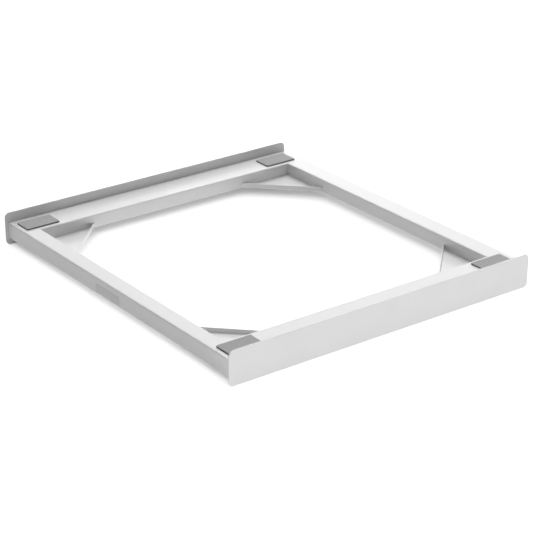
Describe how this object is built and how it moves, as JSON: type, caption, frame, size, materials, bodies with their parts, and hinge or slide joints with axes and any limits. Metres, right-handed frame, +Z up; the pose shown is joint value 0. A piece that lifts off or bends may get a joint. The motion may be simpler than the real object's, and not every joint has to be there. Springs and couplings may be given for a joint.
{
  "type": "washer dryer stacking kit",
  "caption": "White sheet-steel stacking frame that holds a tumble dryer on top of a washing machine, with raised and lowered side lips, an open window, corner gussets and rubber pads.",
  "frame": {"origin": "on the floor under the middle of the frame, level with the side plates' lower edges", "axes": "+Z up, -Y towards the front with the label, +X to the right, seen from the front"},
  "size_m": [0.604, 0.548, 0.0535],
  "materials": {
    "painted_steel": "satin white powder coat",
    "pad_rubber": "matt grey anti-slip rubber with a fine mottled face",
    "label_film": "satin silver-grey film, bare"
  },
  "bodies": {
    "root": {"left_side_plate": "painted_steel", "right_side_plate": "painted_steel", "front_rail": "painted_steel", "back_rail": "painted_steel", "left_beam": "painted_steel", "right_beam": "painted_steel", "front_left_gusset": "painted_steel", "front_right_gusset": "painted_steel", "back_left_gusset": "painted_steel", "back_right_gusset": "painted_steel", "front_left_upper_pad": "pad_rubber", "front_right_upper_pad": "pad_rubber", "back_left_upper_pad": "pad_rubber", "back_right_upper_pad": "pad_rubber", "front_left_lower_pad": "pad_rubber", "front_right_lower_pad": "pad_rubber", "back_left_lower_pad": "pad_rubber", "back_right_lower_pad": "pad_rubber", "blank_label": "label_film"}
  },
  "joints": []
}
